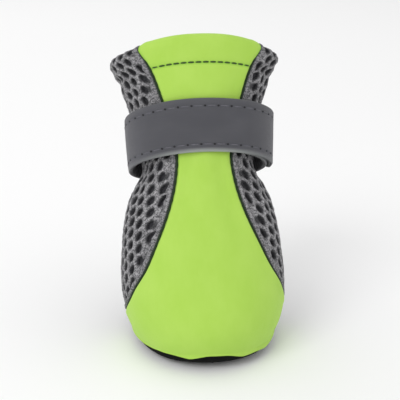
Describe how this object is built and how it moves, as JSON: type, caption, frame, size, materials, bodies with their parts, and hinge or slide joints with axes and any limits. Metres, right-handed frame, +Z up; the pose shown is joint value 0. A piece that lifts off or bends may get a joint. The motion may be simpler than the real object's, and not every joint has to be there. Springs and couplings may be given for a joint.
{
  "type": "dog boot",
  "caption": "Soft ankle boot for a dog: a lime neoprene front and toe, grey air mesh sides and back, a thin black rubber sole and a dark grey reflective strap.",
  "frame": {"origin": "on the floor, under the middle of the boot's outer box", "axes": "+Z up, -Y towards the toe, +X to the side on which the strap's free end lies, square to the boot's plane of symmetry"},
  "size_m": [0.0548, 0.0774, 0.098],
  "materials": {
    "neoprene": "smooth lime jersey over foam, matt",
    "air_mesh": "grey knitted spacer mesh with staggered round holes",
    "mesh_backing": "dark knitted backing behind the holes",
    "sole_rubber": "black rubber with a fine tread, matt",
    "footbed": "dark brushed lining",
    "reflective_tape": "dark grey reflective tape, satin",
    "strap_backing": "looped pile backing of the strap",
    "thread": "spun sewing thread"
  },
  "bodies": {
    "root": {"upper": "neoprene", "sole": "sole_rubber", "insole": "footbed", "strap": "reflective_tape"}
  },
  "joints": []
}
